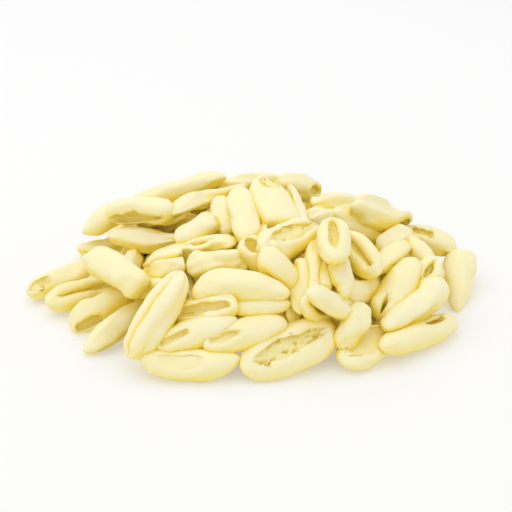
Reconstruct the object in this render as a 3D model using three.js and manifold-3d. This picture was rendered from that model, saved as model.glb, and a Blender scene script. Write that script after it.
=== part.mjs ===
// A loose heap of fresh cavatelli, the short pasta made by dragging a finger of dough so that it
// curls round on itself and leaves a slit along one side. The heap is one solid out to its uneven
// outline: a low oval mound of dough with a layer of whole cavatelli lying in it, every one of
// them a curled spindle with its slit turned out of the heap.
//
// Millimetres, +Z up. X runs along the heap's long side, and the origin is on the ground under the
// middle of the heap.
import * as THREE from "three";
import { mergeVertices } from "three/addons/utils/BufferGeometryUtils.js";
import Module from "manifold-3d";

// Driving dimensions of the heap.
const HEAP_HALF_WIDTH = 87;
const HEAP_HALF_DEPTH = 75;
const HEAP_HEIGHT = 44;

// Driving dimensions of one cavatello, and how far the pieces of the heap differ from it.
const PIECE_LENGTH = 38;
const PIECE_HALF_WIDTH = 7.2;
const PIECE_HALF_HEIGHT = 6.2;
const PIECE_SPREAD = 0.16;
const SLIT_DEPTH = 0.42; // of the piece's half height
const TIP_FULLNESS = 2.6; // 2 gives an ellipse, more gives blunter tips

// How the pieces lie: a ring of them on the ground round the foot of the heap, and the rest over it.
const FOOT_COUNT = 24;
const FOOT_REACH = 0.91; // how far out the middle of a foot piece lies, of the heap's half size
const FOOT_TURN = 50; // degrees that a foot piece turns from lying along the edge
const FOOT_SHIFT = 0.4; // how unevenly the foot pieces follow each other, of the step between them
const UPPER_COUNT = 46;
const UPPER_REACH = 0.8;
const BURIED = 0.15; // the share of its half height that a piece sinks into the mound
const STACKED_EVERY = 3; // one upper piece in so many rides up over its neighbours
const STACKED_LIFT = 3; // and by how much
const STEEPEST = 28; // degrees from level that a piece tilts along itself

// How finely the solids are faceted.
const SIDES = 8;
const STATIONS = 6;
const MOUND_REACH = 0.86; // where the mound under the pieces ends, of the heap's half size
const MOUND_RINGS = 5;
const MOUND_SECTORS = 20;

const GOLDEN_ANGLE = Math.PI * (3 - Math.sqrt(5));
const FLOOR_DEPTH = 30; // of the block that trims the heap level with the ground
const WELD = 1e-3; // points nearer to each other than this are one point

const wasm = await Module();
wasm.setup();

// A number from 0 to 1 that looks random and is the same for the same seed.
function scatter(seed) {
  const wave = Math.sin(seed * 12.9898) * 43758.5453;
  return wave - Math.floor(wave);
}

// The height at which the middle of a piece lies, over a point of the ground.
function bedHeight(x, y) {
  const reach = (x / HEAP_HALF_WIDTH) ** 2 + (y / HEAP_HALF_DEPTH) ** 2;
  const dome = (HEAP_HEIGHT - PIECE_HALF_HEIGHT) * (1 - reach);
  return Math.max(dome, PIECE_HALF_HEIGHT);
}

// The outward direction of the bed of pieces, over a point of the ground.
function bedNormal(x, y) {
  const step = 1;
  const slopeX = (bedHeight(x + step, y) - bedHeight(x - step, y)) / (2 * step);
  const slopeY = (bedHeight(x, y + step) - bedHeight(x, y - step)) / (2 * step);
  return new THREE.Vector3(-slopeX, -slopeY, 1).normalize();
}

// One closed cavatello along X, with its slit along the top: rings of SIDES points between two
// tips, each ring a rounded oval whose topmost point is drawn in.
function cavatelloGeometry(length, fullness) {
  const points = [-length / 2, 0, 0];
  for (let station = 1; station < STATIONS; station++) {
    const along = -Math.cos((Math.PI * station) / STATIONS);
    const taper = Math.sqrt(1 - Math.abs(along) ** TIP_FULLNESS) * fullness;
    for (let side = 0; side < SIDES; side++) {
      const turn = (2 * Math.PI * side) / SIDES;
      const drawnIn = side === 0 ? 1 - SLIT_DEPTH : 1;
      points.push(
        (along * length) / 2,
        Math.sin(turn) * PIECE_HALF_WIDTH * taper,
        Math.cos(turn) * PIECE_HALF_HEIGHT * taper * drawnIn,
      );
    }
  }
  points.push(length / 2, 0, 0);

  const faces = [];
  const farTip = points.length / 3 - 1;
  for (let side = 0; side < SIDES; side++) {
    const next = (side + 1) % SIDES;
    faces.push(0, 1 + side, 1 + next);
    for (let ring = 0; ring < STATIONS - 2; ring++) {
      const near = 1 + ring * SIDES;
      const far = near + SIDES;
      faces.push(near + side, far + next, near + next);
      faces.push(near + side, far + side, far + next);
    }
    const last = 1 + (STATIONS - 2) * SIDES;
    faces.push(farTip, last + next, last + side);
  }
  return new THREE.BufferGeometry()
    .setAttribute("position", new THREE.Float32BufferAttribute(points, 3))
    .setIndex(faces);
}

// The place of a piece whose middle lies over a point of the ground: along its heading, leaning
// with the slope of the bed, and lifted off it along the bed's normal.
function lieAt(x, y, heading, lift) {
  const normal = bedNormal(x, y);
  const along = new THREE.Vector3(Math.cos(heading), Math.sin(heading), 0);
  along.addScaledVector(normal, -along.dot(normal)).normalize();
  const steepest = Math.sin(THREE.MathUtils.degToRad(STEEPEST));
  along.z = THREE.MathUtils.clamp(along.z, -steepest, steepest);
  along.normalize();
  const across = new THREE.Vector3().crossVectors(normal, along).normalize();
  const outward = new THREE.Vector3().crossVectors(along, across);
  const middle = new THREE.Vector3(x, y, bedHeight(x, y)).addScaledVector(normal, lift);
  return new THREE.Matrix4().makeBasis(along, across, outward).setPosition(middle);
}

// The foot pieces lie on the ground, all round the heap.
function lieOfFootPiece(index) {
  const round = (2 * Math.PI * (index + FOOT_SHIFT * scatter(index))) / FOOT_COUNT;
  const turn = THREE.MathUtils.degToRad(FOOT_TURN) * (2 * scatter(index + 0.7) - 1);
  const x = FOOT_REACH * HEAP_HALF_WIDTH * Math.cos(round);
  const y = FOOT_REACH * HEAP_HALF_DEPTH * Math.sin(round);
  return lieAt(x, y, round + Math.PI / 2 + turn, 0);
}

// The upper pieces are spread evenly over the mound, turned every way.
function lieOfUpperPiece(index) {
  const out = UPPER_REACH * Math.sqrt((index + 0.5) / UPPER_COUNT);
  const round = index * GOLDEN_ANGLE;
  const x = HEAP_HALF_WIDTH * out * Math.cos(round);
  const y = HEAP_HALF_DEPTH * out * Math.sin(round);
  const lift = index % STACKED_EVERY === 0 ? STACKED_LIFT : -BURIED * PIECE_HALF_HEIGHT;
  return lieAt(x, y, 2 * Math.PI * scatter(index + 1), lift);
}

// The mound under the pieces: an oval dome cut off upright where the foot pieces hide it.
function moundGeometry() {
  const profile = [new THREE.Vector2(0, 0), new THREE.Vector2(MOUND_REACH, 0)];
  for (let ring = 0; ring < MOUND_RINGS; ring++) {
    const out = MOUND_REACH * (1 - ring / MOUND_RINGS);
    profile.push(new THREE.Vector2(out, bedHeight(out * HEAP_HALF_WIDTH, 0)));
  }
  profile.push(new THREE.Vector2(0, bedHeight(0, 0)));
  return new THREE.LatheGeometry(profile, MOUND_SECTORS)
    .rotateX(Math.PI / 2)
    .scale(HEAP_HALF_WIDTH, HEAP_HALF_DEPTH, 1);
}

// A closed geometry as a solid that can be joined and cut.
function solidOf(geometry) {
  const bare = geometry.clone();
  bare.deleteAttribute("normal");
  bare.deleteAttribute("uv");
  const merged = mergeVertices(bare, WELD);
  return new wasm.Manifold(
    new wasm.Mesh({
      numProp: 3,
      vertProperties: merged.attributes.position.array,
      triVerts: new Uint32Array(merged.index.array),
    }),
  );
}

// A joined or cut solid back as a geometry.
function geometryOf(solid) {
  const mesh = solid.getMesh();
  return new THREE.BufferGeometry()
    .setAttribute("position", new THREE.BufferAttribute(mesh.vertProperties, 3))
    .setIndex(new THREE.BufferAttribute(mesh.triVerts, 1));
}

// The outer skin of a solid as a solid of its own, so that no pocket is left shut in between pieces.
function withoutPockets(solid) {
  const shells = solid.decompose();
  return shells.reduce((widest, shell) => (shell.volume() > widest.volume() ? shell : widest));
}

// The whole heap: mound and pieces in one solid, level with the ground below.
function heapGeometry() {
  const lies = [];
  for (let index = 0; index < FOOT_COUNT; index++) lies.push(lieOfFootPiece(index));
  for (let index = 0; index < UPPER_COUNT; index++) lies.push(lieOfUpperPiece(index));

  let heap = solidOf(moundGeometry());
  lies.forEach((lie, index) => {
    const length = PIECE_LENGTH * (1 + PIECE_SPREAD * (2 * scatter(index + 0.5) - 1));
    const fullness = 1 + PIECE_SPREAD * (2 * scatter(index + 0.25) - 1);
    heap = heap.add(solidOf(cavatelloGeometry(length, fullness).applyMatrix4(lie)));
  });
  const reach = 4 * HEAP_HALF_WIDTH;
  const ground = new THREE.BoxGeometry(reach, reach, FLOOR_DEPTH).translate(0, 0, -FLOOR_DEPTH / 2);
  return geometryOf(withoutPockets(heap.subtract(solidOf(ground))));
}

const dough = new THREE.MeshStandardMaterial({ color: "#f3e7b4", roughness: 0.62, metalness: 0 });
const heap = new THREE.Mesh(heapGeometry(), dough);
heap.name = "cavatelli_heap";

// The uneven outline is centred over the origin.
heap.geometry.computeBoundingBox();
const middle = heap.geometry.boundingBox.getCenter(new THREE.Vector3());
heap.position.set(-middle.x, -middle.y, 0);

export default new THREE.Group().add(heap);
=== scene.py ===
# %% [markdown]
# # A heap of fresh cavatelli
#
# Cavatelli are short pasta. A small oval of dough is dragged over a board with a finger, so that it
# curls round on itself into a little boat: closed at both ends, with a slit or a wide mouth along one
# side, a smooth skin outside and torn dough inside. A few handfuls of them lie here in a low, loose heap.
#
# The solid model gives the heap's place and outline. This script fills that outline with the real
# cavatelli, every one with its own size, curl and place, and gives them the finish of fresh dough.

# %% Load the frame
import math

import bpy
import numpy as np
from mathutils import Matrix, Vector


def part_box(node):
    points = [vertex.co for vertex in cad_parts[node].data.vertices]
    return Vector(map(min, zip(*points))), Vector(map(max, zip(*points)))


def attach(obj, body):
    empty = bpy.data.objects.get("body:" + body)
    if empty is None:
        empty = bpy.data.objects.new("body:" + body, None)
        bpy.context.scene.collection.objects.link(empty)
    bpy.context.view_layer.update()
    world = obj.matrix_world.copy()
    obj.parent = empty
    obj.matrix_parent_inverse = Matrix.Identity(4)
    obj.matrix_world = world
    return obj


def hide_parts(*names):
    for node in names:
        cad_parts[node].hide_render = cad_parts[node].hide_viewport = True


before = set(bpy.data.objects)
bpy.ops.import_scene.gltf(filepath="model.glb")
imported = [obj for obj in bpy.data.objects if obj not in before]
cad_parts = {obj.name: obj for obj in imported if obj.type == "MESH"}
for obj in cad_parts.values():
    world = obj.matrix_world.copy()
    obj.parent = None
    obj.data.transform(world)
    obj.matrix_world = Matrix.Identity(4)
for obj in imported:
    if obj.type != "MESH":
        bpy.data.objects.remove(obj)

scene = bpy.context.scene
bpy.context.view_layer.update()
heap_low, heap_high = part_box("cavatelli_heap")
MM = 0.001
HEAP_HALF_WIDTH = (heap_high.x - heap_low.x) / 2
HEAP_HALF_DEPTH = (heap_high.y - heap_low.y) / 2
HEAP_HEIGHT = heap_high.z
print(f"heap: {2 * HEAP_HALF_WIDTH / MM:.0f} x {2 * HEAP_HALF_DEPTH / MM:.0f} x {HEAP_HEIGHT / MM:.0f} mm")

# %% [markdown]
# ## The camera
#
# The heap was photographed from the front and a little above, from far enough away that it hardly
# narrows towards the back. A long lens half a metre off gives the same look. The camera comes first,
# because the cavatelli that the photograph shows are placed through it: a pixel is a line of sight,
# and a piece lies where that line meets the heap.

# %% The camera
PICTURE_SIDE = 512
LENS = 100.0
SENSOR = 36.0
CAMERA_DISTANCE = 0.58
CAMERA_ELEVATION = math.radians(28)
CAMERA_TARGET = np.array([2.9, 0.0, 16.6]) * MM

CAMERA_RIGHT = np.array([1.0, 0.0, 0.0])
CAMERA_UP = np.array([0.0, math.sin(CAMERA_ELEVATION), math.cos(CAMERA_ELEVATION)])
CAMERA_BACK = np.cross(CAMERA_RIGHT, CAMERA_UP)
CAMERA_PLACE = CAMERA_TARGET + CAMERA_BACK * CAMERA_DISTANCE

camera = bpy.data.objects.new("camera", bpy.data.cameras.new("camera"))
camera.data.lens = LENS
camera.data.sensor_width = SENSOR
camera.location = CAMERA_PLACE
camera.rotation_euler = (math.pi / 2 - CAMERA_ELEVATION, 0, 0)
scene.collection.objects.link(camera)
scene.camera = camera
print(f"camera {CAMERA_PLACE[2] / MM:.0f} mm above the ground")


def sight_line(pixel):
    """The direction in which the camera sees a pixel of the photograph."""
    across, down = pixel
    focal = LENS / SENSOR * PICTURE_SIDE
    line = (across - PICTURE_SIDE / 2) / focal * CAMERA_RIGHT
    line = line - (down - PICTURE_SIDE / 2) / focal * CAMERA_UP - CAMERA_BACK
    return line / np.linalg.norm(line)


# %% [markdown]
# ## Node trees as Python
#
# Both the shape and the finish of the dough are formulas. Written as nodes one by one they would be
# hard to read, so a small class wraps an output socket: adding or multiplying two of them adds the
# Math node that does it. Every other node comes from one method.

# %% Wires and trees
def wired(operation, swapped=False):
    """An operator of Wire that adds a Math node."""

    def operator(self, other):
        first, second = (other, self) if swapped else (self, other)
        return self.tree.math(operation, first, second)

    return operator


class Wire:
    """An output socket that can be used in a Python expression."""

    __add__ = __radd__ = wired("ADD")
    __mul__ = __rmul__ = wired("MULTIPLY")
    __sub__ = wired("SUBTRACT")
    __rsub__ = wired("SUBTRACT", swapped=True)
    __truediv__ = wired("DIVIDE")
    __rtruediv__ = wired("DIVIDE", swapped=True)
    __pow__ = wired("POWER")

    def __init__(self, tree, socket):
        self.tree = tree
        self.socket = socket

    def output(self, name):
        return Wire(self.tree, self.socket.node.outputs[name])


class Tree:
    """A node tree with one method for every kind of node."""

    def __init__(self, node_tree):
        self.node_tree = node_tree

    def node(self, kind, settings=None, sockets=None):
        node = self.node_tree.nodes.new(kind)
        for name, value in (settings or {}).items():
            setattr(node, name, value)
        for key, value in (sockets or {}).items():
            if isinstance(value, Wire):
                self.node_tree.links.new(value.socket, node.inputs[key])
            else:
                node.inputs[key].default_value = value
        shown = [socket for socket in node.outputs if socket.enabled]
        return Wire(self, shown[0]) if shown else node

    def math(self, operation, *values):
        return self.node("ShaderNodeMath", {"operation": operation}, dict(enumerate(values)))

    def vector(self, operation, *values):
        return self.node("ShaderNodeVectorMath", {"operation": operation}, dict(enumerate(values)))

    def scaled(self, vector, factor):
        sockets = {"Vector": vector, "Scale": factor}
        return self.node("ShaderNodeVectorMath", {"operation": "SCALE"}, sockets)

    def clamped(self, value):
        return self.node("ShaderNodeClamp", {}, {"Value": value})

    def smooth(self, value):
        """Runs from 0 to 1 with a gentle start and end as value does."""
        settings = {"interpolation_type": "SMOOTHSTEP"}
        return self.node("ShaderNodeMapRange", settings, {"Value": value})

    def mixed(self, factor, first, second):
        return first + (second - first) * factor

    def noise(self, vector, scale, detail=2.0, roughness=0.5):
        sockets = {"Vector": vector, "Scale": scale, "Detail": detail, "Roughness": roughness}
        return self.node("ShaderNodeTexNoise", {}, sockets)


# %% [markdown]
# ## The form of one cavatello
#
# A cavatello could be sculpted once and copied, but then the heap would be full of twins. Instead its
# form is a rule. The starting shape is a ball whose poles become the two tips. Each ring of the ball
# becomes one slice through the pasta, and a slice is a mix of two outlines:
#
# - where the mouth is open, a strip of dough curled into a C, with round lips and a hollow;
# - past the ends of the mouth, a full oval, with at most a faint crease.
#
# The numbers of the rule, such as length, curl and twist, are attributes of a single point, so
# Geometry Nodes can turn a cloud of points into a heap.

# %% The numbers that shape a cavatello
SHAPE_NUMBERS = (
    "length", "width", "flatness", "skew", "wall", "gap", "lap", "mouth_middle", "mouth_reach",
    "depth", "crease", "twist", "bend", "arc", "sway", "start_tip", "end_tip", "torn", "folds", "seed",
    "sort_number",
)
SHAPE_DIRECTIONS = ("along", "mouth")

HOLLOW_SHARE = 0.36  # of each half ring of the ball, the part that lines the hollow
LIP_SHARE = 0.52  # and the part up to the outside of the lip
END_WALL = 0.34  # of half the mouth's length, over which the hollow's floor rises
THICK_FLOOR = 0.35  # how much thicker the dough is under the hollow
LIP_BEAD = 0.12  # how much thicker it is at the lip
LAP_STEP = 0.17  # how far one lip rides up over the other, of the radius
CLOSED_GAP = 0.05  # half the angle that is left between lips that have met
PAST_END = 0.35  # of half the mouth's length, over which the lips seal past its ends
MOUTH_POINTING = 0.8  # 0.5 gives the mouth round ends, more gives it pointed ones
WIDEST_MOUTH = 0.95  # of the width
WANDER_RUN = 2.4  # how often the edge of the mouth wanders along half a length
LIPS_APART = 3.0  # keeps the two lips from wandering alike
LEAST_WANDER = 0.25  # of the gap, where the lips come nearest to each other
WANDER_SPREAD = 1.5
SHALLOW = 0.25  # a mouth with less depth than this is partly sealed
THICKEST_WALL = 0.85  # of the radius
NARROWEST_CURL = 0.7  # half the angle of the dough where the mouth is widest, in radians
TORN_LIP_FADE = 1.6  # how fast the torn inside ends at the lip
TORN_END_FADE = 2.5  # and at the end of the mouth
BOW_MEAN = 1 / 3  # the mean of place ** 2, so that a bow doesn't shift the whole cavatello
NOT_ZERO = 1e-6  # keeps a division by the radius from failing at the tips


def number(tree, name):
    return tree.node("GeometryNodeInputNamedAttribute", {"data_type": "FLOAT"}, {"Name": name})


def direction(tree, name):
    return tree.node("GeometryNodeInputNamedAttribute", {"data_type": "FLOAT_VECTOR"}, {"Name": name})


def combined(tree, x, y, z):
    return tree.node("ShaderNodeCombineXYZ", {}, {0: x, 1: y, 2: z})


# %% How wide a cavatello is along its length
def skewed(tree, place):
    """The place along the pasta, moved so that its widest part isn't in the middle."""
    return place - number(tree, "skew") * (1 - place * place)


def taper(tree, place):
    """The share of the full width at a place. A tip of 2 is round, less is pointed, more is blunt."""
    shifted = skewed(tree, place)
    tip = tree.mixed((shifted + 1) * 0.5, number(tree, "start_tip"), number(tree, "end_tip"))
    roundness = tree.math("MAXIMUM", tip, 2.0)
    pointing = tree.math("MAXIMUM", 2 - tip, 0.0) * 0.5 + 0.5
    return tree.math("MAXIMUM", 1 - tree.math("ABSOLUTE", shifted) ** roundness, 0.0) ** pointing


# %% The mouth of a cavatello
def mouth_outline(tree, place, side):
    """Half the angle of the mouth in a slice, how far it has opened there, and how far it is sealed."""
    from_middle = (place - number(tree, "mouth_middle")) / number(tree, "mouth_reach")
    outline = tree.math("MAXIMUM", 1 - from_middle * from_middle, 0.0) ** MOUTH_POINTING
    wander = tree.noise(combined(tree, place * WANDER_RUN, side * LIPS_APART, number(tree, "seed")), 1.0)
    uneven = LEAST_WANDER + wander * WANDER_SPREAD
    gap = tree.math("MINIMUM", number(tree, "gap") / number(tree, "width"), WIDEST_MOUTH)
    half_gap = tree.math("ARCSINE", gap) * outline * uneven + CLOSED_GAP
    to_end = 1 - tree.math("ABSOLUTE", from_middle)
    opened = tree.smooth(to_end / END_WALL)
    past_end = tree.smooth(to_end * -1 / PAST_END)
    sealed = tree.mixed(tree.clamped(number(tree, "depth") / SHALLOW), 1.0, past_end)
    return half_gap, opened, sealed


# %% One slice through a cavatello
def curled_slice(tree, half_turn, middle_radius, wall, lip_angle, lip_reach, lip_turn):
    """An open slice: up the hollow, round the lip and back down the outside, as an angle and a radius."""
    outer_rise = (1 - half_turn) / (1 - LIP_SHARE)
    rise = tree.math("MINIMUM", tree.clamped(half_turn / HOLLOW_SHARE), tree.clamped(outer_rise))
    curl = lip_angle * rise + lip_reach * tree.math("SINE", lip_turn * math.pi)
    offset = tree.math("COSINE", lip_turn * math.pi) * -1
    thickness = wall * (1 + LIP_BEAD * rise ** 3)
    floor = tree.math("MAXIMUM", tree.math("COSINE", curl), 0.0) * wall * THICK_FLOOR
    return curl, middle_radius + offset * thickness * 0.5 - (1 - offset) * 0.5 * floor


def closed_slice(tree, half_turn, radius, wall, lip_angle, lip_reach, lip_turn, half_gap, sealed):
    """A slice whose lips have met: a full oval with a crease between two round lips.

    Sealed dough without a crease has its points evenly round it, since crowded ones show as a crack.
    """
    quarter = tree.clamped(lip_turn * 2 - 1) * (math.pi / 2)
    creased = half_gap * tree.clamped(half_turn / HOLLOW_SHARE)
    creased = creased + lip_reach * (1 - tree.math("COSINE", quarter))
    even = (half_gap + lip_reach) * tree.clamped(half_turn / LIP_SHARE)
    from_crease = tree.mixed((1 - number(tree, "crease")) * sealed, creased, even)
    outer_rise = (1 - half_turn) / (1 - LIP_SHARE)
    curl = tree.math("MINIMUM", lip_angle * outer_rise, math.pi - from_crease)
    crease = (1 - tree.math("SINE", quarter)) * wall * 0.5 * number(tree, "crease")
    return curl, radius - crease * tree.math("LESS_THAN", half_turn, LIP_SHARE)


def slice_outline(tree, place, turn):
    """The outline of a slice: across and up from the middle line, and how far inside the mouth it is."""
    half_turn = tree.math("ABSOLUTE", turn) / math.pi
    side = tree.math("SIGN", turn)
    radius = number(tree, "width") * 0.5 * taper(tree, place)
    wall = tree.math("MINIMUM", number(tree, "wall"), radius * THICKEST_WALL)
    middle_radius = radius - wall * 0.5
    lip_reach = wall / (middle_radius * 2 + NOT_ZERO)
    half_gap, opened, sealed = mouth_outline(tree, place, side)
    lip_angle = tree.math("MAXIMUM", math.pi - half_gap - lip_reach, NARROWEST_CURL)
    lip_turn = tree.clamped((half_turn - HOLLOW_SHARE) / (LIP_SHARE - HOLLOW_SHARE))

    slices = (
        closed_slice(tree, half_turn, radius, wall, lip_angle, lip_reach, lip_turn, half_gap, sealed),
        curled_slice(tree, half_turn, middle_radius, wall, lip_angle, lip_reach, lip_turn),
    )
    curled = opened * number(tree, "depth")
    parted = tree.mixed(curled, number(tree, "crease"), 1.0)
    lap = side * number(tree, "lap") * LAP_STEP * radius * parted
    outlines = []
    for curl, reach in slices:
        lapped = reach + lap * (curl / math.pi) ** 2
        outlines.append((lapped * tree.math("SINE", curl), lapped * tree.math("COSINE", curl)))
    (closed_across, closed_up), (curled_across, curled_up) = outlines
    across = tree.mixed(curled, closed_across, curled_across)
    up = tree.mixed(curled, closed_up, curled_up)
    inside = tree.clamped(1 - lip_turn * TORN_LIP_FADE) * tree.clamped(curled * TORN_END_FADE)
    return side * across, up * -1 * number(tree, "flatness"), inside


# %% A ring of the ball becomes a slice at its place along the pasta
def place_and_turn(tree):
    """How far along the pasta a point is, from -1 to 1, and at which angle round it from the mouth."""
    ball = tree.node("ShaderNodeSeparateXYZ", {}, {"Vector": direction(tree, "ball")})
    return ball.output("Z"), tree.math("ARCTAN2", ball.output("Y"), ball.output("X"))


def cavatello_position(tree):
    """The place of every point of the realised balls, and how far inside the mouth it is."""
    place, turn = place_and_turn(tree)
    across, up, inside = slice_outline(tree, place, turn)

    twist = number(tree, "twist") * place * 0.5
    cosine = tree.math("COSINE", twist)
    sine = tree.math("SINE", twist)
    bowed = skewed(tree, place) ** 2 - BOW_MEAN
    sideways = across * cosine - up * sine
    sideways = sideways + number(tree, "arc") * bowed
    sideways = sideways + number(tree, "sway") * tree.math("SINE", place * math.pi)
    outward = across * sine + up * cosine + number(tree, "bend") * bowed

    along = direction(tree, "along")
    mouth = direction(tree, "mouth")
    run = tree.scaled(along, place * number(tree, "length") * 0.5)
    position = tree.vector("ADD", direction(tree, "middle"), run)
    sides = tree.vector("CROSS_PRODUCT", along, mouth)
    position = tree.vector("ADD", position, tree.scaled(sides, sideways))
    position = tree.vector("ADD", position, tree.scaled(mouth, outward))
    return position, inside


# %% [markdown]
# ## The unevenness of dough
#
# Rolled dough keeps soft facets and folds that run along it, and the skin is never quite smooth. Inside
# the curl the dough was dragged and tore, which leaves ragged pits along the hollow. All of that is
# relief that shows in the outline, so it moves the points and isn't left to the finish.

# %% The unevenness of dough
LUMP_SIZE = 9 * MM
LUMP_HEIGHT = 1.1 * MM
DENT_SIZE = 3.5 * MM
DENT_HEIGHT = 0.3 * MM
FOLD_RUN = 0.8  # folds along half a length
FOLD_ROUND = 0.8  # folds round a radian
FOLD_HEIGHT = 1.4 * MM
FOLD_START = 0.42  # of the noise, where a fold rises out of the skin
FOLD_END = 0.58
TIP_FADE = 5  # the folds reach their full height a fifth of a half length away from a tip
TEAR_LENGTH = 4.5 * MM
TEARS_ACROSS = 11.0
TEAR_HEIGHT = 1.0 * MM
TEAR_DETAIL = 3.0
TEAR_ROUGHNESS = 0.6
PIT_DEPTH = 1.1 * MM
PIT_START = 0.56  # of the tears' noise, where a pit starts
PIT_EDGE = 0.09
SEED_SPREAD = (0.37, 0.61)  # how a seed moves a cavatello sideways through the noise


def unevenness(tree):
    """How far the surface stands out, with lumps and folds outside and tears inside, and its pits."""
    seed = number(tree, "seed")
    apart = combined(tree, seed * SEED_SPREAD[0], seed * SEED_SPREAD[1], seed)
    spot = tree.vector("ADD", tree.node("GeometryNodeInputPosition"), apart)
    lumps = (tree.noise(spot, 1 / LUMP_SIZE, 1.0) - 0.5) * LUMP_HEIGHT
    dents = (tree.noise(spot, 1 / DENT_SIZE, 1.0) - 0.5) * DENT_HEIGHT

    place, turn = place_and_turn(tree)
    round_back = tree.math("MINIMUM", (math.pi - tree.math("ABSOLUTE", turn)) / (1 - LIP_SHARE), math.pi)
    round_x = tree.math("COSINE", round_back) * FOLD_ROUND
    round_y = tree.math("SINE", round_back) * tree.math("SIGN", turn) * FOLD_ROUND + seed
    fold_noise = tree.noise(combined(tree, place * FOLD_RUN, round_x, round_y), 1.0, 0.0)
    room = tree.math("MINIMUM", (1 - tree.math("ABSOLUTE", place)) * TIP_FADE, 1.0)
    fold = tree.smooth((fold_noise - FOLD_START) / (FOLD_END - FOLD_START)) - 0.5
    folds = fold * FOLD_HEIGHT * number(tree, "folds") * room

    run = place * number(tree, "length") / (2 * TEAR_LENGTH)
    tear_spot = combined(tree, run, turn * TEARS_ACROSS / math.pi, seed)
    tear_noise = tree.noise(tear_spot, 1.0, TEAR_DETAIL, TEAR_ROUGHNESS)
    inside = number(tree, "inside")
    pit = tree.smooth((tear_noise - PIT_START) / PIT_EDGE) * number(tree, "torn") * inside
    tears = (tear_noise - 0.5) * TEAR_HEIGHT * number(tree, "torn") * inside - pit * PIT_DEPTH
    return lumps + dents + folds + tears, pit


# %% [markdown]
# ## Painted shade: how sheltered the dough is
#
# Light that has bounced from dough to dough is a deep yellow, and it is all that reaches the folds and
# the gaps between pieces. A render follows only a few such bounces, so that shade is painted into the
# dough's colour: each point of the skin is told how sheltered it is, and the finish paints it golden by
# that. A few rays go out from the point, round its normal, and the share of them that soon meets dough
# again says how closed in it is. A face that looks away from the sky gets painted shade too. The dough
# is soft enough to lie flat where it touches the ground.

# %% The painted shade: how sheltered the dough is
RAY_TURNS = 6
RAY_TILTS = (0.45, 1.0)
RAY_LENGTH = 20 * MM
RAY_START = 0.15 * MM
UNDERSIDE_PAINTED_SHADE = 0.40  # painted shade of a face that looks sideways; one that looks down has twice as much
GROUND_GAP = 0.1 * MM
ASKEW = (0.31, 0.22, 0.92)  # a direction that hardly any face looks in


def painted_shade(tree, dough):
    """The painted shade of every point, from 0 in the open to 1 in a closed gap, by what stands round it and
    how far its face looks down.
    """
    here = tree.node("GeometryNodeInputPosition")
    normal = tree.node("GeometryNodeInputNormal")
    start = tree.vector("ADD", here, tree.scaled(normal, RAY_START))
    sideways = tree.vector("NORMALIZE", tree.vector("CROSS_PRODUCT", normal, ASKEW))
    onward = tree.vector("CROSS_PRODUCT", normal, sideways)
    met = 0.0
    for tilt in RAY_TILTS:
        for step in range(RAY_TURNS):
            turn = 2 * math.pi * (step + tilt) / RAY_TURNS
            ray = tree.vector("ADD", normal, tree.scaled(sideways, tilt * math.cos(turn)))
            ray = tree.vector("ADD", ray, tree.scaled(onward, tilt * math.sin(turn)))
            sockets = {"Target Geometry": dough, "Source Position": start, "Ray Direction": ray}
            sockets["Ray Length"] = RAY_LENGTH
            cast = tree.node("GeometryNodeRaycast", {}, sockets)
            nearness = 1 - cast.output("Hit Distance") / RAY_LENGTH
            met = cast.output("Is Hit") * nearness + met
    upward = tree.node("ShaderNodeSeparateXYZ", {}, {"Vector": normal}).output("Z")
    # faces that look down get painted shade too
    return met / (RAY_TURNS * len(RAY_TILTS)) + (1 - upward) * UNDERSIDE_PAINTED_SHADE


# %% The tree: points in, cavatelli of one sort out
def stored(tree, geometry, name, value, kind="FLOAT"):
    sockets = {"Geometry": geometry, "Name": name, "Value": value}
    return tree.node("GeometryNodeStoreNamedAttribute", {"data_type": kind, "domain": "POINT"}, sockets)


def coated(tree, geometry, material):
    """The geometry, shaded smooth and with its material."""
    geometry = tree.node("GeometryNodeSetShadeSmooth", {}, {"Geometry": geometry})
    return tree.node("GeometryNodeSetMaterial", {}, {"Geometry": geometry, "Material": material})


def tree_with_inlets(name, inlets):
    """A new Geometry Nodes tree that puts out one mesh, and its node with the named inputs."""
    group = bpy.data.node_groups.new(name, "GeometryNodeTree")
    for label, kind in inlets.items():
        group.interface.new_socket(label, in_out="INPUT", socket_type="NodeSocket" + kind)
    group.interface.new_socket("Mesh", in_out="OUTPUT", socket_type="NodeSocketGeometry")
    tree = Tree(group)
    return tree, tree.node("NodeGroupInput")


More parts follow.
